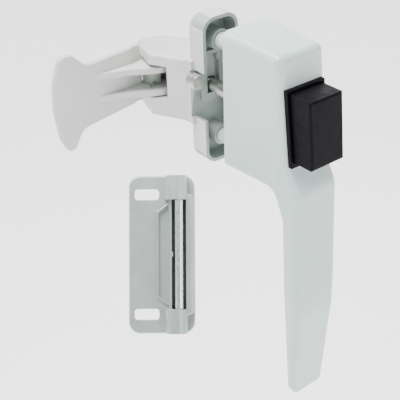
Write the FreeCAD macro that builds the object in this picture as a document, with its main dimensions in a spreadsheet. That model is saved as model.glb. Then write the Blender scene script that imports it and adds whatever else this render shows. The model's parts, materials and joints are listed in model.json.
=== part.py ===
"""Push-button screen door latch set: outside pull, inside base with a T-lever, and a strike.

Frame, in millimetres: +X to the right along the door, +Y inward through the door, +Z up.
The origin is on the axis of the push button's plunger, in the door's outer face, midway
between the two threaded posts.  The door fills the gap between the handle and the base.
The strike is the loose piece of the set and lies beside the lock.
"""
import FreeCAD, Part
import os
import Sketcher

DIMENSIONS = {
    # posts, sleeve and door
    "post_pitch": 22.225, "post_radius": 3.4, "post_reach": 15.9, "post_bore": 1.6,
    "post_root": 3.1, "bore_start": 9.0,
    "sleeve_radius": 3.75, "sleeve_bore": 3.0, "door_gap": 16.2,
    # outside handle
    "back_half": 12.25, "front_half": 10.95, "right_gain": 1.5, "front_round": 2.8,
    "box_top": 33.5, "box_top_front": 31.4,
    "box_bottom": 25.4, "face_top_depth": 31.1, "face_foot_depth": 36.4, "face_foot_drop": 14.0,
    "grip_shoulder_depth": 42.3, "grip_shoulder_drop": 24.0, "grip_belly_depth": 44.9,
    "grip_belly_drop": 84.0, "grip_end_depth": 42.6, "grip_end_drop": 130.0,
    "grip_back_end": 39.4, "grip_back_mid": 37.6, "grip_back_top": 35.4, "grip_back_drop": 38.0,
    "heel_depth": 29.5, "grip_half": 11.0, "grip_end_half": 8.9, "grip_taper_drop": 72.0,
    "case_wall": 2.2, "case_depth": 28.5, "grip_recess_depth": 2.6, "grip_rim": 2.4,
    # push button
    "button_half": 8.2, "button_right": 8.9, "button_slope": 2.2, "button_top": 17.4,
    "button_bottom": 10.5, "button_front": 46.0,
    "button_wall": 1.8, "button_gap": 0.35, "button_flange": 0.9, "flange_thick": 1.8,
    "bezel_half": 9.5, "bezel_top": 18.7, "bezel_bottom": 12.9, "bezel_proud": 1.9,
    "plunger_radius": 2.92, "tip_radius": 2.25, "tip_end": 33.0,
    "neck_radius": 2.0, "neck_start": 21.2, "neck_end": 24.2,
    "bracket_rear": 1.2, "bracket_thick": 1.6, "bracket_half_height": 17.5,
    "spring_seat_thick": 1.0, "spring_seat_front": 25.0,
    "button_spring_radius": 4.6, "button_spring_wire": 0.8,
    # inside base
    "base_half": 9.4, "base_top": 33.0, "base_foot": 34.4, "base_face": 26.2, "base_wall": 1.5,
    "base_web": 2.2, "base_corner": 6.3, "boss_radius": 4.6, "screw_clear": 1.75,
    "housing_top": 13.2, "housing_foot": 16.2, "housing_near": 11.0, "housing_wall": 1.6,
    "flare_half": 19.2, "flare_depth": 42.5, "end_half": 13.8, "end_depth": 60.0,
    "crown_half": 2.6, "crown_depth": 58.4, "lean_half": 4.4, "lean_depth": 46.4,
    "side_depth": 40.4, "mouth_top": 8.2, "mouth_foot": 7.4, "mouth_edge": 35.0,
    "notch_top": 9.2, "notch_foot": 13.0, "notch_depth": 23.9,
    # T-lever
    "pivot_x": 12.0, "pivot_y": 50.0, "pin_radius": 2.0, "pin_clear": 0.06, "pin_top": 11.2,
    "rib_inner": 4.0, "rib_outer": 6.6, "knuckle_radius": 5.0, "hub_radius": 4.0,
    "arm_back": 54.6,
    "arm_front": 51.8, "arm_start": 20.8, "arm_tail": 17.0,
    "arm_top": 13.9, "arm_foot": 13.2, "arm_end": 44.6,
    "head_end": 62.2, "head_top": 18.7, "head_foot": 25.2,
    "horn_inset": 5.2, "horn_width": 5.5, "toe_inset": 4.6, "toe_width": 3.6,
    "finger_x": 0.5, "finger_y": 32.5, "finger_radius": 1.9, "washer_thick": 0.5,
    "lever_spring_radius": 3.1, "lever_spring_wire": 0.9, "lever_spring_height": 6.4,
    # latch bolt
    "bolt_front": 28.6, "bolt_back": 36.6, "bolt_half": 6.8, "bolt_reach": 16.0,
    "bolt_rear": 5.1, "bolt_rear_lean": 4.0, "bolt_window_half": 2.6, "cam_start": 2.68,
    "window_end": 7.8, "finger_slot_half": 2.3, "finger_slot_inner": 3.7, "bolt_clear": 0.4,
    # night lock slide
    "slide_front": 21.9, "slide_thick": 1.7, "slide_half": 5.8, "slide_top": 16.0,
    "slide_foot": 6.5, "tab_reach": 14.2, "tab_top": 8.6, "tab_foot": 2.2, "tab_front": 17.6,
    "keyhole_half": 3.4, "keyhole_top": 11.0, "keyhole_neck": 2.25, "keyhole_end": 14.4,
    # screws
    "screw_radius": 1.5, "screw_end": 9.5, "head_radius": 4.0, "head_height": 2.1,
    # strike, in its own upright frame: x across, y into the jamb, z up
    "strike_half": 14.0, "strike_rise": 33.35, "strike_thick": 2.6, "strike_corner": 5.0,
    "slot_x": 6.4, "slot_z": 25.3, "slot_half": 2.3, "slot_run": 5.2, "slot_corner": 1.4,
    "tower_x": 6.0, "tower_radius": 4.7, "tower_foot": 23.0, "tower_lift": 1.3,
    "roller_x": 7.1, "roller_lift": 3.6, "roller_radius": 1.7, "trunnion_radius": 1.1,
    "trunnion_clear": 0.05, "trunnion_run": 6.0, "roller_gap": 0.3,
    "channel_half": 3.0, "channel_depth": 1.8, "flange_edge": 13.3, "flange_rise": 3.0,
    "flange_end": 27.0, "strip_edge": 2.8, "strip_rise": 2.3, "nub_half": 1.0, "nub_reach": 1.1,
    "rim_left": 2.4, "rim_short": 18.0, "rim_long": 21.8, "rim_rise": 0.8, "rim_wide": 0.9,
    "panel_depth": 0.7,
}
STRIKE_CENTRE = FreeCAD.Vector(-46.8, 0.6, -57.2)
STRIKE_YAW = -33.7
STRIKE_PITCH = -35.4
STRIKE_ROLL = 3.6

X_AXIS = FreeCAD.Vector(1, 0, 0)
Y_AXIS = FreeCAD.Vector(0, 1, 0)
Z_AXIS = FreeCAD.Vector(0, 0, 1)
ALONG = {
    "X": FreeCAD.Rotation(Y_AXIS, 90),
    "Y": FreeCAD.Rotation(X_AXIS, -90),
    "Z": FreeCAD.Rotation(),
}

doc = FreeCAD.newDocument("DoorLatchSet")
sheet = doc.addObject("Spreadsheet::Sheet", "Dims")


class Size:
    """A length that knows its value and the sheet expression it comes from."""

    def __init__(self, value, text):
        self.value = value
        self.text = text

    def __add__(self, other):
        other = as_size(other)
        return Size(self.value + other.value, "(%s + %s)" % (self.text, other.text))

    def __sub__(self, other):
        other = as_size(other)
        return Size(self.value - other.value, "(%s - %s)" % (self.text, other.text))

    def __mul__(self, other):
        other = as_size(other)
        return Size(self.value * other.value, "(%s * %s)" % (self.text, other.text))

    def __truediv__(self, other):
        other = as_size(other)
        return Size(self.value / other.value, "(%s / %s)" % (self.text, other.text))

    def __neg__(self):
        return Size(-self.value, "(0 - %s)" % self.text)

    __radd__ = __add__
    __rmul__ = __mul__

    def __rsub__(self, other):
        return as_size(other) - self


def as_size(item):
    return item if isinstance(item, Size) else Size(float(item), "%.6g" % item)


class Sheet:
    """Gives each dimension of the sheet as a Size: dims.base_half and so on."""

    def __init__(self):
        for row, (alias, value) in enumerate(DIMENSIONS.items(), start=1):
            sheet.set("A%d" % row, str(value))
            sheet.setAlias("A%d" % row, alias)
            setattr(self, alias, Size(float(value), "Dims." + alias))


dims = Sheet()
doc.recompute()


def bind(item, **sizes):
    """Binds properties of an object to sheet expressions."""
    for prop, size in sizes.items():
        item.setExpression(prop.replace("__", "."), as_size(size).text)


def block(name, low, high):
    """A box from the corner low to the corner high."""
    item = doc.addObject("Part::Box", name)
    spans = [as_size(high[axis]) - low[axis] for axis in range(3)]
    bind(item, Length=spans[0], Width=spans[1], Height=spans[2])
    bind(item, Placement__Base__x=low[0], Placement__Base__y=low[1], Placement__Base__z=low[2])
    return item


def rod(name, radius, base, length, along):
    """A cylinder that starts at base and runs along +X, +Y or +Z."""
    item = doc.addObject("Part::Cylinder", name)
    item.Placement = FreeCAD.Placement(FreeCAD.Vector(), ALONG[along])
    bind(item, Radius=radius, Height=length)
    bind(item, Placement__Base__x=base[0], Placement__Base__y=base[1], Placement__Base__z=base[2])
    return item


def taper(name, radius, end_radius, base, length, along):
    """A cone frustum that starts at base and runs along +X, +Y or +Z."""
    item = doc.addObject("Part::Cone", name)
    item.Placement = FreeCAD.Placement(FreeCAD.Vector(), ALONG[along])
    bind(item, Radius1=radius, Radius2=end_radius, Height=length)
    bind(item, Placement__Base__x=base[0], Placement__Base__y=base[1], Placement__Base__z=base[2])
    return item


def origin_plane(body, role):
    return next(item for item in body.Origin.OriginFeatures if item.Role == role)


def prism(name, role, outline, low, high):
    """A PartDesign body: a closed outline on an origin plane, padded from low to high."""
    body = doc.addObject("PartDesign::Body", name)
    sketch = body.newObject("Sketcher::SketchObject", name + "Sketch")
    sketch.AttachmentSupport = (origin_plane(body, role), [""])
    sketch.MapMode = "FlatFace"
    start = -as_size(high) if role == "XZ_Plane" else as_size(low)
    bind(sketch, AttachmentOffset__Base__z=start)
    points = [(as_size(across), as_size(up)) for across, up in outline]
    corners = [FreeCAD.Vector(across.value, up.value, 0) for across, up in points]
    for index, corner in enumerate(corners):
        following = corners[(index + 1) % len(corners)]
        sketch.addGeometry(Part.LineSegment(corner, following), False)
    for index, (across, up) in enumerate(points):
        following = (index + 1) % len(points)
        sketch.addConstraint(Sketcher.Constraint("Coincident", index, 2, following, 1))
        for kind, size in (("DistanceX", across), ("DistanceY", up)):
            key = "%s%d" % (kind, index)
            number = sketch.addConstraint(
                Sketcher.Constraint(kind, -1, 1, index, 1, size.value))
            sketch.renameConstraint(number, key)
            sketch.setExpression("Constraints." + key, size.text)
    pad = body.newObject("PartDesign::Pad", name + "Pad")
    pad.Profile = sketch
    bind(pad, Length=as_size(high) - low)
    doc.recompute()
    return body


def round_edges(body, name, radius, chosen):
    """Fillets the edges of a body for which chosen(edge) holds."""
    tip = body.Tip
    names = []
    for number, edge in enumerate(tip.Shape.Edges, start=1):
        if chosen(edge):
            names.append("Edge%d" % number)
    if not names:
        raise RuntimeError("no edge found for " + name)
    fillet = body.newObject("PartDesign::Fillet", name)
    fillet.Base = (tip, names)
    bind(fillet, Radius=radius)
    doc.recompute()
    if fillet.Shape.isNull() or "Invalid" in fillet.State:
        raise RuntimeError("fillet failed: " + name)
    return body


def edge_at(direction, first, second, reach=0.4):
    """Picks straight edges along an axis whose other two coordinates match a point."""
    others = [axis for axis in range(3) if axis != "XYZ".index(direction)]
    goal = (as_size(first).value, as_size(second).value)

    def chosen(edge):
        spot = edge.CenterOfMass
        near = all(abs(spot[axis] - value) < reach for axis, value in zip(others, goal))
        box = edge.BoundBox
        spread = (box.XLength, box.YLength, box.ZLength)
        return near and all(spread[axis] < reach for axis in others)

    return chosen


def fused(name, parts):
    item = doc.addObject("Part::MultiFuse", name)
    item.Shapes = parts
    item.Refine = True
    return item


def shared(name, parts):
    item = doc.addObject("Part::MultiCommon", name)
    item.Shapes = parts
    return item


def cut(name, base, tools):
    item = doc.addObject("Part::Cut", name)
    item.Base = base
    item.Tool = tools[0] if len(tools) == 1 else fused(name + "Tools", tools)
    item.Refine = True
    return item


def softened(name, base, radius, chosen):
    """Rounds the chosen edges of a boolean result with a Part fillet."""
    doc.recompute()
    item = doc.addObject("Part::Fillet", name)
    item.Base = base
    size = as_size(radius).value
    found = [number for number, edge in enumerate(base.Shape.Edges, start=1) if chosen(edge)]
    if not found:
        raise RuntimeError("no edge found for " + name)
    item.Edges = [(number, size, size) for number in found]
    return item


def mirrored_heights(height):
    """The two heights of a pair that is symmetrical about the plunger's axis."""
    return (height, -height)


def face_depth(drop):
    """Depth of the handle's sloping front face at a height below its top front edge."""
    slope = (dims.face_foot_depth - dims.face_top_depth) / (
        dims.box_top_front + dims.face_foot_drop)
    return dims.face_top_depth + slope * drop


# ---------------------------------------------------------------- outside handle
def handle_body():
    """Die-cast pull: a hollow case with two threaded posts, and a tapering grip below."""
    profile = [
        (0, dims.box_top),
        (-dims.face_top_depth, dims.box_top_front),
        (-dims.face_foot_depth, -dims.face_foot_drop),
        (-dims.grip_shoulder_depth, -dims.grip_shoulder_drop),
        (-dims.grip_belly_depth, -dims.grip_belly_drop),
        (-dims.grip_end_depth, -dims.grip_end_drop),
        (-dims.grip_back_end, -(dims.grip_end_drop - 0.8)),
        (-dims.grip_back_mid, -dims.grip_belly_drop),
        (-dims.grip_back_top, -dims.grip_back_drop),
        (-dims.heel_depth, -(dims.box_bottom - 0.6)),
        (0, -dims.box_bottom),
    ]
    back_right = dims.back_half + dims.right_gain
    front_right = dims.front_half + dims.right_gain
    grip_right = dims.grip_half + dims.right_gain
    side = prism("HandleSide", "YZ_Plane", profile, -dims.back_half, back_right)
    round_edges(side, "ShoulderRound", 9.0, edge_at(
        "X", -dims.face_foot_depth, -dims.face_foot_drop))
    round_edges(side, "ShoulderCrest", 10.0, edge_at(
        "X", -dims.grip_shoulder_depth, -dims.grip_shoulder_drop))
    round_edges(side, "HeelRound", 7.0, edge_at(
        "X", -dims.heel_depth, -(dims.box_bottom - 0.6)))
    draft = [
        (-dims.back_half, 0.0),
        (back_right, 0.0),
        (front_right, -dims.face_top_depth),
        (front_right, -50.0),
        (-dims.front_half, -50.0),
        (-dims.front_half, -dims.face_top_depth),
    ]
    plan = prism("HandlePlan", "XY_Plane", draft, -(dims.grip_end_drop + 2), dims.box_top + 2)
    outline = [
        (-dims.back_half, dims.box_top + 1),
        (-dims.back_half, -(dims.box_bottom + 6)),
        (-dims.grip_half, -(dims.box_bottom + 7)),
        (-dims.grip_half, -dims.grip_taper_drop),
        (-dims.grip_end_half, -(dims.grip_end_drop + 1)),
        (dims.grip_end_half + dims.right_gain / 2, -(dims.grip_end_drop + 1)),
        (grip_right, -dims.grip_taper_drop),
        (grip_right, -(dims.box_bottom + 7)),
        (back_right, -(dims.box_bottom + 6)),
        (back_right, dims.box_top + 1),
    ]
    front = prism("HandleFront", "XZ_Plane", outline, -52, 1)
    solid = shared("HandleSolid", [side, plan, front])
    smooth = softened("HandleSmooth", solid, dims.front_round, handle_front_edge)
    cavity_half = dims.front_half - dims.case_wall + 0.6
    cavity = block("CaseCavity",
                   (-cavity_half, -dims.case_depth, -(dims.box_bottom - dims.case_wall)),
                   (cavity_half + dims.right_gain, 1, dims.box_top_front - dims.case_wall))
    window = block("ButtonWindow",
                   (-(dims.button_half + dims.button_gap), -52,
                    -(dims.button_bottom + dims.button_gap)),
                   (dims.button_right + dims.button_gap, -dims.case_depth + 1,
                    dims.button_top + dims.button_gap))
    recess_half = dims.grip_end_half - dims.grip_rim
    recess = prism("GripRecess", "YZ_Plane", [
        (-(dims.grip_back_top - 3), -(dims.grip_back_drop + 6)),
        (-(dims.grip_back_top + dims.grip_recess_depth), -(dims.grip_back_drop + 8)),
        (-(dims.grip_back_mid + dims.grip_recess_depth), -dims.grip_belly_drop),
        (-(dims.grip_back_end + 0.9), -(dims.grip_end_drop - 6)),
        (-(dims.grip_back_end - 3), -(dims.grip_end_drop - 5)),
    ], -recess_half, recess_half)
    shell = cut("HandleShell", smooth, [cavity, window, recess])
    posts = [rod("Post%d" % index, dims.post_radius, (0, 0, height), dims.post_reach, "Y")
             for index, height in enumerate(mirrored_heights(dims.post_pitch))]
    posts += [rod("PostRoot%d" % index, dims.post_root, (0, -(dims.case_depth + 0.5), height),
                  dims.case_depth + 1.5, "Y")
              for index, height in enumerate(mirrored_heights(dims.post_pitch))]
    bores = [rod("PostBore%d" % index, dims.post_bore, (0, dims.bore_start, height),
                 dims.post_reach, "Y")
             for index, height in enumerate(mirrored_heights(dims.post_pitch))]
    body = fused("HandleWithPosts", [shell] + posts)
    return cut("handle_body", body, bores)


def handle_front_edge(edge):
    """The edges round the top of the case and down both sides of the front face."""
    box = edge.BoundBox
    spot = edge.CenterOfMass
    if box.ZMin > dims.box_top_front.value - 0.1:
        return box.YMin < -0.5
    if box.XLength > 2 or box.ZLength < 0.1:
        return False
    if spot.z > -dims.face_foot_drop.value:
        return box.YMin < -dims.face_foot_depth.value + 0.5
    if spot.z > -dims.grip_shoulder_drop.value - 0.5:
        return spot.y < -dims.face_foot_depth.value - 0.1
    return spot.y < -(dims.grip_shoulder_depth.value - 1.3)


def button_bezel():
    """Plastic frame round the button, lying on the sloping front face."""
    top_depth = face_depth(dims.box_top_front - dims.bezel_top)
    foot_depth = face_depth(dims.box_top_front + dims.bezel_bottom)
    frame = prism("BezelSide", "YZ_Plane", [
        (-top_depth, dims.bezel_top),
        (-foot_depth, -dims.bezel_bottom),
        (-(foot_depth + dims.bezel_proud), -dims.bezel_bottom),
        (-(top_depth + dims.bezel_proud), dims.bezel_top),
    ], -dims.bezel_half, dims.bezel_half + dims.button_right - dims.button_half)
    window = block("BezelWindow",
                   (-(dims.button_half + dims.button_gap), -52,
                    -(dims.button_bottom + dims.button_gap)),
                   (dims.button_right + dims.button_gap, -20, dims.button_top + dims.button_gap))
    return cut("button_bezel", frame, [window])


def button_cap():
    """Hollow push button with a retaining flange and a boss for the plunger."""
    cap_rear = dims.case_depth - 2.2
    cap = prism("CapBlock", "YZ_Plane", [
        (-(dims.button_front - 0.4), dims.button_top),
        (-(dims.button_front + dims.button_slope), -dims.button_bottom),
        (-cap_rear, -dims.button_bottom),
        (-cap_rear, dims.button_top),
    ], -dims.button_half, dims.button_right)
    round_edges(cap, "CapRound", 0.9, lambda edge: edge.BoundBox.YMax < -cap_rear.value - 0.01)
    flange = block("CapFlange",
                   (-(dims.button_half + dims.button_flange), -(dims.case_depth - 0.3),
                    -(dims.button_bottom + dims.button_flange)),
                   (dims.button_right + dims.button_flange,
                    -(dims.case_depth - 0.3 - dims.flange_thick),
                    dims.button_top + dims.button_flange - 0.2))
    hollow = block("CapHollow",
                   (-(dims.button_half - dims.button_wall), -(dims.button_front - 2.4),
                    -(dims.button_bottom - dims.button_wall)),
                   (dims.button_right - dims.button_wall, -20,
                    dims.button_top - dims.button_wall))
    shell = cut("CapShell", fused("CapOuter", [cap, flange]), [hollow])
    boss = rod("CapBoss", dims.plunger_radius + 1.6, (0, -(dims.button_front - 2), 0),
               dims.button_front - 2 - dims.spring_seat_front - dims.spring_seat_thick, "Y")
    bore = rod("CapBossBore", dims.plunger_radius, (0, -(dims.button_front - 4), 0), 30, "Y")
    return cut("button_cap", fused("CapWithBoss", [shell, boss]), [bore])


def plunger():
    """Steel rod from the button to the bolt, with a neck for the lock and a wedge tip."""
    start = dims.button_front - 4
    shank = rod("PlungerShank", dims.plunger_radius, (0, -start, 0), start + dims.neck_start, "Y")
    neck = rod("PlungerNeck", dims.neck_radius, (0, dims.neck_start - 1, 0),
               dims.neck_end - dims.neck_start + 2, "Y")
    tip = rod("PlungerTip", dims.tip_radius, (0, dims.neck_end, 0),
              dims.tip_end - dims.neck_end, "Y")
    wedge = prism("WedgeCut", "XY_Plane", [
        (-dims.tip_radius - 1, dims.tip_end - dims.tip_radius * 2 - 1),
        (dims.tip_radius + 1, dims.tip_end + 1),
        (-dims.tip_radius - 1, dims.tip_end + 1),
    ], -4, 4)
    return cut("plunger", fused("PlungerRod", [shank, neck, tip]), [wedge])


def spring_seat():
    """Washer on the plunger that the return spring bears on."""
    ring = rod("SeatRing", dims.plunger_radius + 3.1, (0, -dims.spring_seat_front -
               dims.spring_seat_thick, 0), dims.spring_seat_thick, "Y")
    hole = rod("SeatHole", dims.plunger_radius, (0, -40, 0), 30, "Y")
    return cut("spring_seat", ring, [hole])


def guide_bracket():
    """Plate across the open back of the case, carrying the sleeve that guides the plunger."""
    half = dims.front_half - dims.case_wall + 0.6
    rear = -dims.bracket_rear
    plate = block("BracketPlate", (-half, rear - dims.bracket_thick, -dims.bracket_half_height),
                  (half, rear, dims.bracket_half_height))
    sleeve = rod("GuideSleeve", dims.sleeve_radius, (0, rear - dims.bracket_thick, 0),
                 dims.post_reach + dims.bracket_rear + dims.bracket_thick, "Y")
    bore = rod("SleeveBore", dims.sleeve_bore, (0, -10, 0), dims.post_reach + 12, "Y")
    return cut("guide_bracket", fused("BracketBody", [plate, sleeve]), [bore])


def coil_sleeve(name, radius, wire, base, length, along):
    """The tube that a coil of wire fills, starting at base; the legs are added apart."""
    outer = rod(name + "Outer", radius + wire / 2, base, length, along)
    inner = rod(name + "Inner", radius - wire / 2, base, length, along)
    return cut(name, outer, [inner])


def button_spring():
    """Compression spring on the plunger, between its seat and the guide bracket."""
    front = -dims.spring_seat_front + 0.1
    rear = -(dims.bracket_rear + dims.bracket_thick) - 0.1
    return coil_sleeve("button_spring", dims.button_spring_radius, dims.button_spring_wire,
                       (0, front, 0), rear - front, "Y")


# ---------------------------------------------------------------- inside base
def housing_outline(wall):
    """Plan of the housing, moved inward by a wall thickness."""
    return [
        (-(dims.housing_near - wall), dims.base_face - dims.base_web - 1),
        (-(dims.housing_near - wall), dims.base_face),
        (-(dims.flare_half - wall), dims.flare_depth),
        (-(dims.end_half - wall * 0.4), dims.end_depth - wall),
        (-dims.crown_half - wall * 0.3, dims.crown_depth - wall),
        (dims.lean_half - wall, dims.lean_depth - wall * 0.4),
        (dims.base_half - wall, dims.side_depth),
        (dims.base_half - wall, dims.base_face - dims.base_web - 1),
    ]


def inside_base():
    """Die-cast base: a skirted plate against the door, and the housing of the lever."""
    plate = prism("BasePlate", "XZ_Plane", [
        (-dims.base_half, dims.base_top),
        (-dims.base_half, -dims.base_foot),
        (dims.base_half, -dims.base_foot),
        (dims.base_half, dims.base_top),
    ], dims.door_gap, dims.base_face)
    round_edges(plate, "PlateCorners", dims.base_corner, lambda edge:
                edge.BoundBox.XLength < 0.01 and edge.BoundBox.ZLength < 0.01)
    round_edges(plate, "PlateRim", 1.2, lambda edge: edge.BoundBox.YMin > dims.base_face.value - 0.01)
    outer = prism("HousingOuter", "XY_Plane", housing_outline(Size(0.0, "0")),
                  -dims.housing_foot, dims.housing_top)
    for name, across, depth, radius in (
            ("CrownRound", -dims.crown_half, dims.crown_depth, 7.0),
            ("EndRound", -dims.end_half, dims.end_depth, 3.0),
            ("FlareRound", -dims.flare_half, dims.flare_depth, 1.5),
            ("LeanRound", dims.lean_half, dims.lean_depth, 6.0)):
        round_edges(outer, name, radius, edge_at("Z", across, depth))
    round_edges(outer, "HousingRim", 1.2, housing_rim)
    shell = fused("BaseOuter", [plate, outer])
    skirt = dims.base_half - dims.base_wall
    hollow = prism("PlateHollow", "XZ_Plane", [
        (-skirt, dims.base_top - dims.base_wall),
        (-skirt, -(dims.base_foot - dims.base_wall)),
        (skirt, -(dims.base_foot - dims.base_wall)),
        (skirt, dims.base_top - dims.base_wall),
    ], dims.door_gap - 1, dims.base_face - dims.base_web)
    round_edges(hollow, "HollowCorners", dims.base_corner - dims.base_wall, lambda edge:
                edge.BoundBox.XLength < 0.01 and edge.BoundBox.ZLength < 0.01)
    chamber = prism("Chamber", "XY_Plane",
                    [(across, depth if index in (2, 3, 4, 5, 6) else dims.base_face)
                     for index, (across, depth) in enumerate(housing_outline(dims.housing_wall))
                     if index != 1],
                    -dims.mouth_foot, dims.mouth_top)
    mouth = prism("Mouth", "XY_Plane", [
        (-26, dims.mouth_edge),
        (-9, dims.mouth_edge),
        (-dims.end_half - 0.4, dims.end_depth - dims.housing_wall * 2),
        (-26, dims.end_depth - dims.housing_wall * 2),
    ], -dims.mouth_foot, dims.mouth_top)
    bolt_window = block("BoltWindow",
                        (dims.base_half - dims.housing_wall - 1, dims.bolt_front - dims.bolt_clear,
                         -(dims.bolt_half + dims.bolt_clear)),
                        (dims.base_half + 1, dims.bolt_back + dims.bolt_clear,
                         dims.bolt_half + dims.bolt_clear))
    notch = block("LockNotch", (-dims.base_half - 3, dims.door_gap - 1, -dims.notch_foot),
                  (-dims.base_half + dims.base_wall + 0.5, dims.notch_depth, dims.notch_top))
    plunger_hole = rod("PlungerHole", dims.plunger_radius + 0.4, (0, dims.door_gap, 0), 14, "Y")
    pin_hole = rod("PinHole", dims.pin_radius, (-dims.pivot_x, dims.pivot_y, -20),
                   20 + dims.pin_top, "Z")
    heights = mirrored_heights(dims.post_pitch)
    bosses = [rod("Boss%d" % index, dims.boss_radius, (0, dims.door_gap, height),
                  dims.base_face - dims.door_gap - 1, "Y")
              for index, height in enumerate(heights)]
    holes = [rod("ScrewHole%d" % index, dims.screw_clear, (0, 10, height), 20, "Y")
             for index, height in enumerate(heights)]
    opened = cut("BaseShell", shell, [hollow, chamber, mouth, bolt_window, notch])
    body = fused("BaseWithBosses", [opened] + bosses)
    return cut("inside_base", body, [plunger_hole, pin_hole] + holes)


def housing_rim(edge):
    """The top and bottom edges of the housing that stand beyond the plate."""
    box = edge.BoundBox
    return box.ZLength < 0.01 and box.YMax > dims.base_face.value + 3


def mounting_screws():
    """Two machine screws from the room side into the threaded posts."""
    screws = []
    for index, height in enumerate(mirrored_heights(dims.post_pitch)):
        shank = rod("ScrewShank%d" % index, dims.screw_radius, (0, dims.screw_end, height),
                    dims.base_face - dims.screw_end + 0.5, "Y")
        head = taper("ScrewHead%d" % index, dims.head_radius, dims.head_radius * 0.55,
                     (0, dims.base_face, height), dims.head_height, "Y")
        slot = block("ScrewSlot%d" % index,
                     (-0.5, dims.base_face + dims.head_height - 1, height - 6),
                     (0.5, dims.base_face + dims.head_height + 1, height + 6))
        screws.append(cut("Screw%d" % index, fused("ScrewBody%d" % index, [shank, head]), [slot]))
    item = doc.addObject("Part::Compound", "mounting_screws")
    item.Links = screws
    return item


def pivot_pin():
    """Steel pin of the lever, pressed up into the housing from below."""
    return rod("pivot_pin", dims.pin_radius - 0.005, (-dims.pivot_x, dims.pivot_y, -dims.housing_foot),
               dims.housing_foot + dims.pin_top - 0.1, "Z")


# ---------------------------------------------------------------- lever
def t_lever():
    """Lever: a flat arm with a T-shaped head outside, two ribs with fingers inside."""
    horn = dims.head_end - dims.horn_inset
    toe = dims.head_end - dims.toe_inset
    head = prism("LeverFace", "XZ_Plane", [
        (-dims.arm_start, dims.arm_top),
        (-dims.arm_end, dims.arm_top - 1.9),
        (-(horn - dims.horn_width), dims.head_top),
        (-horn, dims.head_top),
        (-(dims.head_end - 0.9), dims.head_top - 11),
        (-dims.head_end, -6.0),
        (-(dims.head_end - 1.6), -(dims.head_foot - 6)),
        (-toe, -dims.head_foot),
        (-(toe - dims.toe_width), -dims.head_foot),
        (-(dims.arm_end + 4.7), -(dims.arm_foot + 3.6)),
        (-dims.arm_start, -dims.arm_foot),
    ], dims.arm_front, dims.arm_back)
    for name, across, height, radius in (
            ("TopThroat", -dims.arm_end, dims.arm_top - 1.9, 6.0),
            ("HornRight", -(horn - dims.horn_width), dims.head_top, 3.0),
            ("HornLeft", -horn, dims.head_top, 3.5),
            ("EndUpper", -(dims.head_end - 0.9), dims.head_top - 11, 14.0),
            ("EndLower", -dims.head_end, -6.0, 20.0),
            ("ToeLeft", -toe, -dims.head_foot, 2.2),
            ("ToeRight", -(toe - dims.toe_width), -dims.head_foot, 1.7),
            ("FootThroat", -(dims.arm_end + 4.7), -(dims.arm_foot + 3.6), 7.0)):
        round_edges(head, name, radius, edge_at("Y", across, height))
    round_edges(head, "FaceRim", 0.8, lambda edge: edge.BoundBox.YLength < 0.01)
    plan = [
        (-(dims.arm_end - 3.6), dims.arm_front),
        (-28.0, 46.8),
        (-19.0, 41.2),
        (-14.6, 39.0),
        (-10.8, dims.bolt_back + 1.8),
        (-(dims.finger_x + dims.finger_radius + 0.6), dims.bolt_back + 2),
        (-(dims.finger_x + dims.finger_radius), dims.finger_y),
        (-(dims.finger_x - dims.finger_radius), dims.finger_y),
        (-(dims.pivot_x - dims.knuckle_radius), dims.pivot_y),
        (-dims.pivot_x, dims.pivot_y + dims.knuckle_radius),
        (-dims.arm_start, dims.arm_back - 0.6),
        (-(dims.arm_end - 3.6), dims.arm_back - 0.6),
    ]
    knuckles = []
    for index, low in enumerate((dims.rib_inner, -dims.rib_outer)):
        high = low + dims.rib_outer - dims.rib_inner
        knuckles.append(prism("Rib%d" % index, "XY_Plane", plan, low, high))
        knuckles.append(rod("Finger%d" % index, dims.finger_radius,
                            (-dims.finger_x, dims.finger_y, low), high - low, "Z"))
        knuckles.append(rod("Knuckle%d" % index, dims.knuckle_radius,
                            (-dims.pivot_x, dims.pivot_y, low), high - low, "Z"))
    web = prism("LeverWeb", "XY_Plane", [
        (-dims.arm_end, dims.arm_front),
        (-26.0, 51.0),
        (-18.0, 51.6),
        (-17.6, dims.arm_back - 0.6),
        (-dims.arm_end, dims.arm_back - 0.6),
    ], -(dims.rib_inner + 0.5), dims.rib_inner + 0.5)
    tail = block("LeverTail", (-(dims.arm_start + 1), dims.arm_front + 0.8, -(dims.arm_foot - 0.6)),
                 (-dims.arm_tail, dims.arm_back - 0.2, dims.arm_top - 0.3))
    axle = (-dims.pivot_x, dims.pivot_y, -(dims.rib_inner + 0.3))
    drum = rod("HubDrum", dims.knuckle_radius, axle, dims.rib_inner * 2 + 0.6, "Z")
    bore = rod("HubBore", dims.hub_radius, axle, dims.rib_inner * 2 + 0.6, "Z")
    open_side = block("HubOpening", (-(dims.pivot_x - 0.5), dims.pivot_y - 8, -10),
                      (0, dims.pivot_y + 8, 10))
    hub = cut("LeverHub", drum, [bore, open_side])
    hole = rod("LeverHole", dims.pin_radius + dims.pin_clear, (-dims.pivot_x, dims.pivot_y, -20),
               40, "Z")
    return cut("t_lever", fused("LeverBody", [head, tail, web, hub] + knuckles), [hole])


def pivot_washers():
    """Thin washers on the pin between the lever's ribs and the housing's ears."""
    rings = []
    for index, low in enumerate((dims.rib_outer + 0.05, -dims.rib_outer - 0.05 -
                                 dims.washer_thick)):
        ring = rod("WasherRing%d" % index, dims.hub_radius - 0.2,
                   (-dims.pivot_x, dims.pivot_y, low), dims.washer_thick, "Z")
        hole = rod("WasherHole%d" % index, dims.pin_radius + 0.02,
                   (-dims.pivot_x, dims.pivot_y, low - 1), 3, "Z")
        rings.append(cut("Washer%d" % index, ring, [hole]))
    item = doc.addObject("Part::Compound", "pivot_washers")
    item.Links = rings
    return item


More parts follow.
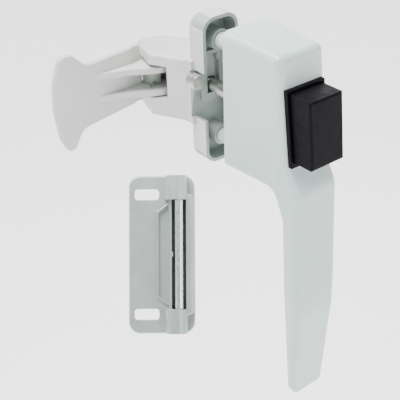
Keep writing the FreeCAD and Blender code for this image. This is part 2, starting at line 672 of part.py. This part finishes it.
def lever_spring():
    """Torsion spring round the pin between the ribs, with two legs along the housing."""
    wire = dims.lever_spring_wire
    height = dims.lever_spring_height
    tube = coil_sleeve("SpringCoil", dims.lever_spring_radius, wire,
                       (-dims.pivot_x, dims.pivot_y, -(height / 2)), height, "Z")
    leg_x = -dims.pivot_x + dims.lever_spring_radius
    legs = [
        rod("SpringLegBack", wire / 2, (leg_x, dims.pivot_y, -((height - wire) / 2)), 5.6, "Y"),
        rod("SpringLegFront", wire / 2, (leg_x, dims.pivot_y - 5, (height - wire) / 2), 5.0, "Y"),
    ]
    return fused("lever_spring", [tube] + legs)


# ---------------------------------------------------------------- bolt and lock
def latch_bolt():
    """Sliding bolt with a bevelled nose, a cam window for the plunger and finger slots."""
    body = prism("BoltBody", "XY_Plane", [
        (-dims.bolt_rear, dims.bolt_front),
        (dims.bolt_reach, dims.bolt_front),
        (dims.bolt_reach, dims.bolt_front + 1.6),
        (dims.bolt_reach - 5.5, dims.bolt_back),
        (-(dims.bolt_rear + dims.bolt_rear_lean), dims.bolt_back),
    ], -dims.bolt_half, dims.bolt_half)
    depth = dims.bolt_back - dims.bolt_front
    window = prism("BoltCam", "XY_Plane", [
        (-dims.cam_start - 1, dims.bolt_front - 1),
        (dims.window_end, dims.bolt_front - 1),
        (dims.window_end, dims.bolt_back + 1),
        (-dims.cam_start + depth + 1, dims.bolt_back + 1),
    ], -dims.bolt_window_half, dims.bolt_window_half)
    slots = []
    for index, low in enumerate((dims.finger_slot_inner, -8)):
        high = 8 if index == 0 else -dims.finger_slot_inner
        slots.append(block("FingerSlot%d" % index,
                           (-(dims.finger_x + dims.finger_slot_half), dims.bolt_front - 1, low),
                           (-(dims.finger_x - dims.finger_slot_half), dims.bolt_back + 1, high)))
    return cut("latch_bolt", body, [window] + slots)


def lock_slide():
    """Night lock: a keyhole plate behind the web, with a thumb tab out of the left skirt."""
    rear = dims.slide_front + dims.slide_thick
    plate = block("SlidePlate", (-dims.slide_half, dims.slide_front, -dims.slide_foot),
                  (dims.slide_half, rear, dims.slide_top))
    arm = block("SlideArm", (-(dims.base_half + 1), dims.slide_front - 0.9, dims.tab_foot + 1),
                (-dims.slide_half + 1, rear - 0.9, dims.tab_top - 1))
    tab = prism("SlideTab", "XZ_Plane", [
        (-(dims.base_half + 0.6), dims.tab_top),
        (-dims.tab_reach, dims.tab_top),
        (-dims.tab_reach, dims.tab_foot),
        (-(dims.base_half + 0.6), dims.tab_foot),
    ], dims.tab_front, rear - 0.9)
    round_edges(tab, "TabRound", 2.6, lambda edge:
                edge.BoundBox.YLength > 1 and edge.BoundBox.XMax < -dims.tab_reach.value + 0.1)
    wide = block("KeyholeWide", (-dims.keyhole_half, 15, -dims.keyhole_half),
                 (dims.keyhole_half, 30, dims.keyhole_top))
    narrow = block("KeyholeNarrow", (-dims.keyhole_neck, 15, dims.keyhole_top - 1),
                   (dims.keyhole_neck, 30, dims.keyhole_end))
    return cut("lock_slide", fused("SlideBody", [plate, arm, tab]), [wide, narrow])


def lock_detent():
    """Bowed leaf spring in the skirt that presses on the edge of the lock slide."""
    skirt = dims.base_half - dims.base_wall
    strip = prism("DetentStrip", "XZ_Plane", [
        (skirt, -14.0),
        (skirt - 0.9, -4.0),
        (skirt - 0.9, 6.0),
        (skirt, 15.0),
        (skirt - 0.4, 15.0),
        (skirt - 1.3, 6.0),
        (skirt - 1.3, -4.0),
        (skirt - 0.4, -14.0),
    ], dims.slide_front - 0.6, dims.slide_front + dims.slide_thick)
    strip.Label = "lock_detent"
    return strip


# ---------------------------------------------------------------- strike
def strike_placement():
    turn = FreeCAD.Rotation(Z_AXIS, STRIKE_YAW)
    turn = turn.multiply(FreeCAD.Rotation(X_AXIS, STRIKE_PITCH))
    turn = turn.multiply(FreeCAD.Rotation(Y_AXIS, STRIKE_ROLL))
    return FreeCAD.Placement(STRIKE_CENTRE, turn)


def trapezoid(name, inset, low, high):
    """The rim's outline moved inward by inset: a long side at the roller, a short one beyond."""
    return prism(name, "XZ_Plane", [
        (-(dims.rim_left - inset), dims.rim_short - inset * 0.5),
        (-(dims.rim_left - inset), -(dims.rim_short - inset * 0.5)),
        (dims.strip_edge + 0.2, -(dims.rim_long - inset)),
        (dims.strip_edge + 0.2, dims.rim_long - inset),
    ], low, high)


def strike_plate():
    """Cast strike: a slotted plate, a walled channel for the roller and a towered end each."""
    half = dims.strike_thick / 2
    plate = prism("StrikePlate", "XZ_Plane", [
        (-dims.strike_half, dims.strike_rise),
        (-dims.strike_half, -dims.strike_rise),
        (dims.strike_half, -dims.strike_rise),
        (dims.strike_half, dims.strike_rise),
    ], -half, half)
    round_edges(plate, "StrikeCorners", dims.strike_corner, lambda edge:
                edge.BoundBox.XLength < 0.01 and edge.BoundBox.ZLength < 0.01)
    round_edges(plate, "StrikeRim", 0.8, lambda edge: edge.BoundBox.YMax < -half.value + 0.01)
    channel_left = dims.roller_x - dims.channel_half
    channel_right = dims.roller_x + dims.channel_half
    flange = prism("RollerFlange", "XZ_Plane", [
        (channel_right - 1, dims.flange_end),
        (channel_right - 1, -dims.flange_end),
        (dims.flange_edge, -(dims.flange_end - 2.5)),
        (dims.flange_edge, dims.flange_end - 2.5),
    ], -(half + dims.flange_rise), half)
    round_edges(flange, "FlangeCrest", 1.3, lambda edge:
                edge.BoundBox.YMax < -(half + dims.flange_rise).value + 0.01)
    strip = block("ChannelStrip", (dims.strip_edge, -(half + dims.strip_rise), -dims.tower_foot),
                  (channel_left + 0.5, half, dims.tower_foot))
    rim = trapezoid("RimRidge", Size(0.0, "0"), -(half + dims.rim_rise), half)
    parts = [plate, flange, strip, rim]
    tools = [trapezoid("RimPanel", dims.rim_wide, -(half + 5), -(half - dims.panel_depth))]
    tools[0] = cut("PanelTool", tools[0], [block(
        "PanelLimit", (dims.strip_edge, -10, -40), (20, 10, 40))])
    nub = block("ChannelNub", (channel_left - 0.5, -(half + dims.strip_rise), -dims.nub_half),
                (channel_left + dims.nub_reach, half, dims.nub_half))
    channel = block("RollerChannel", (channel_left, -(half + 8), -dims.tower_foot),
                    (channel_right, -(half - dims.channel_depth), dims.tower_foot))
    channel = cut("ChannelTool", channel, [nub])
    tools.append(channel)
    for index, side in enumerate((1, -1)):
        low = dims.tower_foot * side
        high = (dims.strike_rise - 0.2) * side
        if side < 0:
            low, high = high, low
        tower = rod("TowerRound%d" % index, dims.tower_radius,
                    (dims.tower_x, -(half + dims.tower_lift), low), high - low, "Z")
        foot = block("TowerFoot%d" % index, (dims.tower_x - dims.tower_radius,
                                             -(half + dims.tower_lift), low),
                     (dims.tower_x + dims.tower_radius, half, high))
        below = block("TowerBelow%d" % index, (-10, half, low - 1), (20, half + 10, high + 1))
        parts.append(cut("Tower%d" % index, fused("TowerBody%d" % index, [tower, foot]), [below]))
        height = dims.slot_z * side
        slot = prism("Slot%d" % index, "XZ_Plane", [
            (-(dims.slot_x + dims.slot_run), height + dims.slot_half),
            (-(dims.slot_x + dims.slot_run), height - dims.slot_half),
            (-(dims.slot_x - dims.slot_run), height - dims.slot_half),
            (-(dims.slot_x - dims.slot_run), height + dims.slot_half),
        ], -5, 5)
        round_edges(slot, "SlotCorners%d" % index, dims.slot_corner, lambda edge:
                    edge.BoundBox.XLength < 0.01 and edge.BoundBox.ZLength < 0.01)
        tools.append(slot)
    axle_y = -(half + dims.roller_lift)
    tools.append(rod("AxleHole", dims.trunnion_radius + dims.trunnion_clear,
                     (dims.roller_x, axle_y, -(dims.tower_foot + dims.trunnion_run + 0.4)),
                     (dims.tower_foot + dims.trunnion_run + 0.4) * 2, "Z"))
    body = cut("strike_plate", fused("StrikeBody", parts), tools)
    body.Placement = strike_placement()
    return body


def strike_roller():
    """Polished steel roller with a trunnion at each end."""
    axle_y = -(dims.strike_thick / 2 + dims.roller_lift)
    barrel_half = dims.tower_foot - dims.roller_gap
    pin_half = dims.tower_foot + dims.trunnion_run
    barrel = rod("RollerBarrel", dims.roller_radius, (dims.roller_x, axle_y, -barrel_half),
                 barrel_half * 2, "Z")
    pin = rod("RollerPin", dims.trunnion_radius, (dims.roller_x, axle_y, -pin_half),
              pin_half * 2, "Z")
    body = fused("strike_roller", [barrel, pin])
    body.Placement = strike_placement()
    return body


BUILDERS = (
    handle_body, button_bezel, button_cap, plunger, spring_seat, guide_bracket, button_spring,
    inside_base, mounting_screws, pivot_pin, t_lever, pivot_washers, lever_spring, latch_bolt,
    lock_slide, lock_detent, strike_plate, strike_roller,
)


def build_all():
    pieces = {}
    for builder in BUILDERS:
        item = builder()
        item.Label = builder.__name__
        pieces[builder.__name__] = item
    doc.recompute()
    for item in doc.Objects:
        if "Invalid" in item.State or "Error" in item.State:
            raise RuntimeError("%s failed: %s" % (item.Name, item.State))
    for name, item in pieces.items():
        shape = item.Shape
        if shape.isNull() or not shape.isValid() or not shape.Solids:
            raise RuntimeError("%s has no valid shape" % name)
        solids = 2 if name in ("mounting_screws", "pivot_washers") else 1
        if len(shape.Solids) != solids:
            raise RuntimeError("%s has %d solids" % (name, len(shape.Solids)))
        print("%-16s %9.1f mm3  %s" % (name, shape.Volume, shape.BoundBox))
    return pieces


def write_steps(pieces):
    os.makedirs("parts", exist_ok=True)
    for name, item in pieces.items():
        item.Shape.exportStep(os.path.join("parts", name + ".step"))


write_steps(build_all())
axle = strike_placement()
print("strike axis", axle.Rotation.multVec(Z_AXIS), "roller", axle.multVec(FreeCAD.Vector(
    dims.roller_x.value, -(dims.strike_thick.value / 2 + dims.roller_lift.value), 0)))
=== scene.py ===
import json
import math
import bmesh
import bpy
from mathutils import Matrix, Vector


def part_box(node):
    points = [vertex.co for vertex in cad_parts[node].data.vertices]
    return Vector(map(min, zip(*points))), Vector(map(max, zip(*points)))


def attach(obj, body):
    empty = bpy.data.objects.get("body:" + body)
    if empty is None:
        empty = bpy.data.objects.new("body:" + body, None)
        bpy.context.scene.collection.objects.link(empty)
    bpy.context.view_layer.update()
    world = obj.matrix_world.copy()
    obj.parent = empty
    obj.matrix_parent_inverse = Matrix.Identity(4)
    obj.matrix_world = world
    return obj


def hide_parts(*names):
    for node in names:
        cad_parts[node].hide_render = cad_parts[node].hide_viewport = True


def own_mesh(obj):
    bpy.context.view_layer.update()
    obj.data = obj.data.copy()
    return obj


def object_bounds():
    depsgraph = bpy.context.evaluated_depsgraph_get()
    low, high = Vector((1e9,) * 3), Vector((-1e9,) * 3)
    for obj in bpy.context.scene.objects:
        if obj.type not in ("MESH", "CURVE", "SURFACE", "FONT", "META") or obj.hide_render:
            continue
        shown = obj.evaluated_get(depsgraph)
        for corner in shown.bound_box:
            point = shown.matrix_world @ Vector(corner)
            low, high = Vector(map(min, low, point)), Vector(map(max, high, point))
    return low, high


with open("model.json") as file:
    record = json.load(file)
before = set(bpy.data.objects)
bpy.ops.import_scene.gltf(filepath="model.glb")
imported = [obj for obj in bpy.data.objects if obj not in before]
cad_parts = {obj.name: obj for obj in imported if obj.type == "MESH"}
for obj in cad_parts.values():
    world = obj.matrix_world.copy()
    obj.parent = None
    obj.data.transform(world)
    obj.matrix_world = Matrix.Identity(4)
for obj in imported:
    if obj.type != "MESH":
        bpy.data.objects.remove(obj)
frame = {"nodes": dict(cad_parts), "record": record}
cad_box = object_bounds()
MM = 0.001

# the camera: where it stands in the row frame and how it looks at the latch
CAMERA_PLACE = Vector((-216.3, -253.6, 159.7)) * MM
CAMERA_YAW = math.radians(36.87)
CAMERA_PITCH = math.radians(31.98)
CAMERA_ROLL = math.radians(-2.11)
FOCAL_OVER_WIDTH = 879.5 / 400
SENSOR = 36.0

# the loose strike: how it is turned, and the channel of its roller in millimetres
STRIKE_CENTRE = Vector((-46.8, 0.6, -57.2)) * MM
STRIKE_YAW = math.radians(-33.7)
STRIKE_PITCH = math.radians(-35.4)
STRIKE_ROLL = math.radians(3.6)
CHANNEL_MIDDLE = 7.1
CHANNEL_HALF = 3.1
CHANNEL_END = 23.4
CHANNEL_LIP = -3.2
CHANNEL_BOTTOM = 0.9

# round-wire springs: wire across, turns, and the height of the closing wave in wires
BUTTON_WIRE = 0.8 * MM
BUTTON_TURNS = 8
LEVER_WIRE = 0.9 * MM
LEVER_TURNS = 5
PIVOT_Y = 50 * MM
STEPS_PER_TURN = 20
CLOSING_WAVE = 0.3

# boxes in millimetres, low and high corner: faces of the node inside them get a dark painted shade,
# where the hollow of the base, its rim, the lever hub and the lock slide lie in shadow
SHADE_BOXES = {
    "inside_base": [((-9.2, 16.1, -34.2), (9.2, 24.05, 32.8)),
                    ((-10.4, 16.1, -35.4), (10.4, 16.3, 34.0))],
    "t_lever": [((-17.2, 44.8, -4.2), (-6.8, 55.2, 4.2))],
    "lock_slide": [((-9.0, 16.0, -20.0), (9.0, 24.0, 20.0))],
}

# studio: floor below the latch, its half width, and how bright floor and surroundings are
FLOOR_DROP = 0.25
FLOOR_HALF = 60
FLOOR_GLOW = 2.0
WORLD_GLOW = 0.62


# ------------------------------------------------------------------ node helpers
def add_node(tree, kind, **values):
    node = tree.nodes.new(kind)
    for key, value in values.items():
        if key in node.inputs:
            node.inputs[key].default_value = value
        else:
            setattr(node, key, value)
    return node


def noise(tree, scale, detail=4.0, stretch=(1.0, 1.0, 1.0)):
    """Object-space noise, so that grain keeps its real size on every piece."""
    place = add_node(tree, "ShaderNodeTexCoord")
    mapping = add_node(tree, "ShaderNodeMapping")
    mapping.inputs["Scale"].default_value = stretch
    grain = add_node(tree, "ShaderNodeTexNoise", Scale=scale, Detail=detail)
    tree.links.new(place.outputs["Object"], mapping.inputs["Vector"])
    tree.links.new(mapping.outputs["Vector"], grain.inputs["Vector"])
    return grain.outputs["Fac"]


def ramp(tree, source, low, high, start=0.35, end=0.65):
    """Maps a 0..1 source to a colour or grey ramp."""
    node = add_node(tree, "ShaderNodeValToRGB")
    node.color_ramp.elements[0].position = start
    node.color_ramp.elements[1].position = end
    node.color_ramp.elements[0].color = (*low, 1.0)
    node.color_ramp.elements[1].color = (*high, 1.0)
    tree.links.new(source, node.inputs["Fac"])
    return node.outputs["Color"]


def grey(level):
    return (level, level, level)


def new_material(name, **values):
    material = bpy.data.materials.new(name)
    material.use_nodes = True
    tree = material.node_tree
    shader = tree.nodes["Principled BSDF"]
    for key, value in values.items():
        shader.inputs[key.replace("_", " ")].default_value = value
    return material, tree, shader


def add_bump(tree, shader, layers, edge=0.0):
    """Chains bump layers (height, strength, distance) over a softly rounded edge normal."""
    normal = None
    if edge:
        rounded = add_node(tree, "ShaderNodeBevel", Radius=edge)
        rounded.samples = 6
        normal = rounded.outputs["Normal"]
    for height, strength, distance in layers:
        bump = add_node(tree, "ShaderNodeBump", Strength=strength, Distance=distance)
        tree.links.new(height, bump.inputs["Height"])
        if normal:
            tree.links.new(normal, bump.inputs["Normal"])
        normal = bump.outputs["Normal"]
    tree.links.new(normal, shader.inputs["Normal"])


# ------------------------------------------------------------------ materials
def enamel(name, tone, warm, rough):
    """Baked enamel over die-cast zinc: orange peel, faint mottling and rubbed edges."""
    material, tree, shader = new_material(
        name, Metallic=0.0, Coat_Weight=0.25, Coat_Roughness=0.22)
    mottle = ramp(tree, noise(tree, 38.0, 3.0), tone, warm)
    wear = add_node(tree, "ShaderNodeMix", data_type="RGBA")
    place = add_node(tree, "ShaderNodeNewGeometry")
    edges = ramp(tree, place.outputs["Pointiness"], grey(0.0), grey(0.22), 0.53, 0.62)
    tree.links.new(edges, wear.inputs["Factor"])
    tree.links.new(mottle, wear.inputs["A"])
    wear.inputs["B"].default_value = (0.72, 0.74, 0.73, 1.0)
    tree.links.new(wear.outputs["Result"], shader.inputs["Base Color"])
    gloss = ramp(tree, noise(tree, 160.0, 5.0), grey(rough - 0.05), grey(rough + 0.07))
    tree.links.new(gloss, shader.inputs["Roughness"])
    add_bump(tree, shader, [(noise(tree, 900.0, 2.0), 0.10, 0.00006),
                            (noise(tree, 90.0, 2.0), 0.10, 0.0003)], edge=0.0005)
    return material


def moulded_plastic():
    """Black moulded plastic with a fine spark-eroded grain and a dusty sheen."""
    material, tree, shader = new_material("button_plastic", Specular_IOR_Level=0.07)
    colour = ramp(tree, noise(tree, 60.0, 3.0), (0.003, 0.002, 0.004), (0.005, 0.004, 0.006))
    tree.links.new(colour, shader.inputs["Base Color"])
    gloss = ramp(tree, noise(tree, 420.0, 4.0), grey(0.40), grey(0.54))
    tree.links.new(gloss, shader.inputs["Roughness"])
    add_bump(tree, shader, [(noise(tree, 2600.0, 3.0), 0.22, 0.00005)], edge=0.0005)
    return material


def steel(name, tone, dark, rough, stretch, grain=420.0):
    """Metal with fine drawn lines along one direction."""
    material, tree, shader = new_material(name, Metallic=1.0)
    colour = ramp(tree, noise(tree, grain, 6.0, stretch), dark, tone, 0.3, 0.7)
    tree.links.new(colour, shader.inputs["Base Color"])
    gloss = ramp(tree, noise(tree, grain * 1.7, 5.0, stretch), grey(rough - 0.06), grey(rough + 0.08))
    tree.links.new(gloss, shader.inputs["Roughness"])
    add_bump(tree, shader, [(noise(tree, grain * 2, 3.0, stretch), 0.08, 0.00003)], edge=0.0003)
    return material


def cast_strike():
    """Satin silver enamel on the cast strike, with a faint sparkle."""
    material, tree, shader = new_material(
        "strike_metal", Metallic=0.40, Coat_Weight=0.2, Coat_Roughness=0.2)
    colour = ramp(tree, noise(tree, 55.0, 4.0), (0.36, 0.41, 0.405), (0.45, 0.495, 0.49))
    tree.links.new(colour, shader.inputs["Base Color"])
    gloss = ramp(tree, noise(tree, 500.0, 3.0), grey(0.30), grey(0.42))
    tree.links.new(gloss, shader.inputs["Roughness"])
    add_bump(tree, shader, [(noise(tree, 1500.0, 2.0), 0.12, 0.00004)], edge=0.0004)
    return material


def painted_shade_cast():
    """Dark grey-green painted shade for faces that lie in shadow: the hollow of the base, its rim, the
    lever hub and the lock slide.
    """
    material, tree, shader = new_material("painted_shade_cast", Metallic=0.25)
    colour = ramp(tree, noise(tree, 120.0, 4.0), (0.31, 0.36, 0.33), (0.37, 0.415, 0.39))
    tree.links.new(colour, shader.inputs["Base Color"])
    gloss = ramp(tree, noise(tree, 300.0, 3.0), grey(0.55), grey(0.70))
    tree.links.new(gloss, shader.inputs["Roughness"])
    add_bump(tree, shader, [(noise(tree, 700.0, 3.0), 0.25, 0.00008)])
    return material


def painted_shade_channel():
    """Dark painted shade on the bottom of the deep channel that the roller turns in."""
    material, tree, shader = new_material("painted_shade_channel", Metallic=0.3)
    colour = ramp(tree, noise(tree, 140.0, 4.0), (0.075, 0.080, 0.082), (0.11, 0.115, 0.118))
    tree.links.new(colour, shader.inputs["Base Color"])
    gloss = ramp(tree, noise(tree, 400.0, 3.0), grey(0.50), grey(0.64))
    tree.links.new(gloss, shader.inputs["Roughness"])
    add_bump(tree, shader, [(noise(tree, 900.0, 3.0), 0.20, 0.00006)])
    return material


def make_materials():
    along_z = (1.0, 1.0, 0.05)
    return {
        "cast_paint": enamel("cast_paint", (0.505, 0.625, 0.608), (0.535, 0.650, 0.633), 0.36),
        "lever_paint": enamel("lever_paint", (0.565, 0.575, 0.552), (0.595, 0.605, 0.582), 0.38),
        "painted_shade_cast": painted_shade_cast(),
        "button_plastic": moulded_plastic(),
        "strike_metal": cast_strike(),
        "painted_shade_channel": painted_shade_channel(),
        "roller_steel": steel("roller_steel", (0.95, 0.955, 0.96), (0.88, 0.89, 0.90), 0.28, along_z),
        "plain_steel": steel("plain_steel", (0.66, 0.66, 0.64), (0.50, 0.50, 0.49), 0.34, (1, 1, 1)),
        "spring_steel": steel("spring_steel", (0.42, 0.43, 0.45), (0.30, 0.31, 0.33), 0.28, along_z),
    }


def dress_nodes(materials):
    """Gives every CAD node the finish of its slot in the record."""
    slots = {part["node"]: part["material_slot"] for part in frame["record"]["subparts"]}
    for name, node in frame["nodes"].items():
        node.data.materials.clear()
        node.data.materials.append(materials[slots[name]])


def in_box(point, low, high):
    """Whether a point in metres lies inside a box given in millimetres."""
    return all(low[axis] * MM < point[axis] < high[axis] * MM for axis in range(3))


def paint_shade_on_faces(node, material, boxes):
    """Gives the faces of a node that lie inside one of its boxes the dark painted-shade material."""
    node.data.materials.append(material)
    for face in node.data.polygons:
        if any(in_box(face.center, low, high) for low, high in boxes):
            face.material_index = 1


def strike_axes():
    """Turns the strike's own axes (across, into and along the plate) into the row frame."""
    return (Matrix.Rotation(STRIKE_YAW, 3, "Z") @ Matrix.Rotation(STRIKE_PITCH, 3, "X")
            @ Matrix.Rotation(STRIKE_ROLL, 3, "Y"))


def shade_the_channel(node, material):
    """Puts the dark painted shade on the faces of the strike that lie in the roller's channel."""
    node.data.materials.append(material)
    back = strike_axes().transposed()
    for face in node.data.polygons:
        spot = back @ (face.center - STRIKE_CENTRE) / MM
        across = abs(spot.x - CHANNEL_MIDDLE)
        inside = CHANNEL_LIP < spot.y < CHANNEL_BOTTOM
        if inside and across < CHANNEL_HALF and abs(spot.z) < CHANNEL_END:
            face.material_index = 1


# ------------------------------------------------------------------ springs
def wire_spring(name, centre, axis, radius, wire, length, turns, legs=()):
    """A coil of round wire with closed end turns, as a mesh."""
    curve = bpy.data.curves.new(name, "CURVE")
    curve.dimensions = "3D"
    curve.bevel_depth = wire / 2
    curve.bevel_resolution = 5
    curve.use_fill_caps = True
    count = int(turns * STEPS_PER_TURN) + 1
    spline = curve.splines.new("POLY")
    points = []
    for index in range(count):
        share = index / (count - 1)
        angle = share * turns * 2 * math.pi
        rise = share * length + wire * CLOSING_WAVE * math.sin(2 * math.pi * share)
        points.append(Vector((radius * math.cos(angle), radius * math.sin(angle), rise)))
    points = [Vector(leg) for leg in legs[:1]] + points + [Vector(leg) for leg in legs[1:]]
    spline.points.add(len(points) - 1)
    for spot, point in zip(spline.points, points):
        spot.co = (*point, 1.0)
    sweep = bpy.data.objects.new(name + "_sweep", curve)
    bpy.context.scene.collection.objects.link(sweep)
    mesh = bpy.data.meshes.new_from_object(sweep.evaluated_get(bpy.context.evaluated_depsgraph_get()))
    bpy.data.objects.remove(sweep)
    for face in mesh.polygons:
        face.use_smooth = True
    piece = bpy.data.objects.new(name, mesh)
    bpy.context.scene.collection.objects.link(piece)
    piece.matrix_world = Matrix.Translation(centre) @ axis.to_track_quat("Z", "X").to_matrix().to_4x4()
    return piece


def finish_piece(piece, body, slot, materials, *nodes):
    piece.data.materials.append(materials[slot])
    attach(piece, body)
    if nodes:
        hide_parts(*nodes)


def add_springs(materials):
    low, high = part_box("button_spring")
    radius = (high.x - low.x) / 2
    piece = wire_spring("button_coil", Vector((0, low.y + BUTTON_WIRE / 2, 0)), Vector((0, 1, 0)),
                        radius - BUTTON_WIRE / 2, BUTTON_WIRE, high.y - low.y - BUTTON_WIRE,
                        BUTTON_TURNS)
    finish_piece(piece, "lock_case", "spring_steel", materials, "button_spring")
    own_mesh(piece)
    low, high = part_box("lever_spring")
    radius = (high.x - low.x) / 2 - LEVER_WIRE / 2
    centre = Vector(((low.x + high.x) / 2, PIVOT_Y, low.z + LEVER_WIRE / 2))
    height = high.z - low.z - LEVER_WIRE
    piece = wire_spring("lever_coil", centre, Vector((0, 0, 1)), radius, LEVER_WIRE, height, LEVER_TURNS,
                        legs=[(radius, high.y - centre.y, 0), (radius, low.y - centre.y, height)])
    finish_piece(piece, "lock_case", "spring_steel", materials, "lever_spring")


# ------------------------------------------------------------------ studio
def camera_axes():
    """Right, up and forward of the camera, from its yaw, pitch and roll."""
    forward = Vector((math.cos(CAMERA_PITCH) * math.sin(CAMERA_YAW),
                      math.cos(CAMERA_PITCH) * math.cos(CAMERA_YAW), -math.sin(CAMERA_PITCH)))
    level = Vector((math.cos(CAMERA_YAW), -math.sin(CAMERA_YAW), 0))
    rise = level.cross(forward)
    right = level * math.cos(CAMERA_ROLL) + rise * math.sin(CAMERA_ROLL)
    up = rise * math.cos(CAMERA_ROLL) - level * math.sin(CAMERA_ROLL)
    return right, up, forward


def add_camera():
    data = bpy.data.cameras.new("camera")
    data.sensor_width = SENSOR
    data.lens = SENSOR * FOCAL_OVER_WIDTH
    data.clip_start = 0.01
    data.clip_end = 20
    camera = bpy.data.objects.new("camera", data)
    bpy.context.scene.collection.objects.link(camera)
    right, up, forward = camera_axes()
    turn = Matrix((right, up, -forward)).transposed().to_4x4()
    camera.matrix_world = Matrix.Translation(CAMERA_PLACE) @ turn
    bpy.context.scene.camera = camera


def add_light(name, place, aim, size, power, tint=(1, 1, 1)):
    data = bpy.data.lights.new(name, "AREA")
    data.shape = "DISK"
    data.size = size
    data.energy = power
    data.color = tint
    lamp = bpy.data.objects.new(name, data)
    bpy.context.scene.collection.objects.link(lamp)
    lamp.location = place
    lamp.rotation_mode = "QUATERNION"
    lamp.rotation_quaternion = (aim - place).to_track_quat("-Z", "Y")


def add_floor():
    mesh = bpy.data.meshes.new("floor")
    form = bmesh.new()
    bmesh.ops.create_grid(form, x_segments=1, y_segments=1, size=FLOOR_HALF)
    form.to_mesh(mesh)
    form.free()
    floor = bpy.data.objects.new("floor", mesh)
    bpy.context.scene.collection.objects.link(floor)
    floor.location = (0, 0, cad_box[0].z - FLOOR_DROP)
    material, tree, shader = new_material("pale_floor", Roughness=0.9, Specular_IOR_Level=0.1,
                                          Emission_Color=(1, 1, 1, 1), Emission_Strength=FLOOR_GLOW)
    tone = ramp(tree, noise(tree, 3.0, 2.0), grey(0.93), grey(0.95))
    tree.links.new(tone, shader.inputs["Base Color"])
    mesh.materials.append(material)


def add_studio():
    world = bpy.data.worlds.new("studio")
    world.use_nodes = True
    world.node_tree.nodes["Background"].inputs["Color"].default_value = (0.97, 1.0, 0.99, 1)
    world.node_tree.nodes["Background"].inputs["Strength"].default_value = WORLD_GLOW
    bpy.context.scene.world = world
    middle = (cad_box[0] + cad_box[1]) / 2
    right, up, forward = camera_axes()
    key = middle - forward * 0.5 + up * 0.55 - right * 0.35
    front = middle + Vector((0.15, -0.7, 0.12))
    back = middle + forward * 0.35 + up * 0.5 + right * 0.2
    add_light("key", key, middle, 0.45, 5.0)
    add_light("front", front, middle, 0.45, 1.7)
    add_light("back", back, middle, 0.5, 1.5)
    add_light("top", Vector((-60, 60, 260)) * MM, Vector((-20, 45, 10)) * MM, 0.16, 1.7)
    add_floor()


scene_materials = make_materials()
dress_nodes(scene_materials)
# faces in the shadowed hollow of the base, its rim, the lever hub and the lock slide get a dark painted
# shade
for shade_node, shade_boxes in SHADE_BOXES.items():
    paint_shade_on_faces(frame["nodes"][shade_node], scene_materials["painted_shade_cast"], shade_boxes)
# the roller's channel in the strike gets a dark painted shade
shade_the_channel(frame["nodes"]["strike_plate"], scene_materials["painted_shade_channel"])
add_springs(scene_materials)
add_studio()
add_camera()
